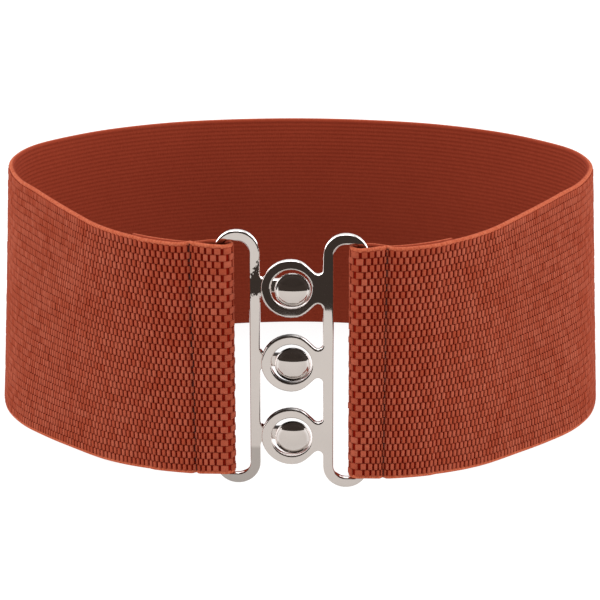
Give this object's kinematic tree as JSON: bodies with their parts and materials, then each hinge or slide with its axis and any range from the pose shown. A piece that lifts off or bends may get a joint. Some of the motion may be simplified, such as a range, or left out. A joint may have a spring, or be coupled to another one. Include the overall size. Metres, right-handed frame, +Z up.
{
  "type": "elastic stretch belt",
  "caption": "Wide woven elastic waist belt, closed in a loop, with its ends folded round the bars of an interlocking metal clasp of studs and eyes.",
  "frame": {"origin": "middle of the bounding box, on the surface that the belt stands on", "axes": "+Z up, across the band's width; the clasp faces -Y; +X to the right of someone who looks at the clasp, along the longest side"},
  "size_m": [0.1898, 0.1676, 0.08],
  "materials": {
    "elastic": "coarse woven, matt, rust orange",
    "plated_metal": "polished plating, rounded edges"
  },
  "bodies": {
    "root": {"band": "elastic", "stud_plate": "plated_metal", "ring_plate": "plated_metal", "stud_top": "plated_metal", "stud_middle": "plated_metal", "stud_bottom": "plated_metal"}
  },
  "joints": []
}
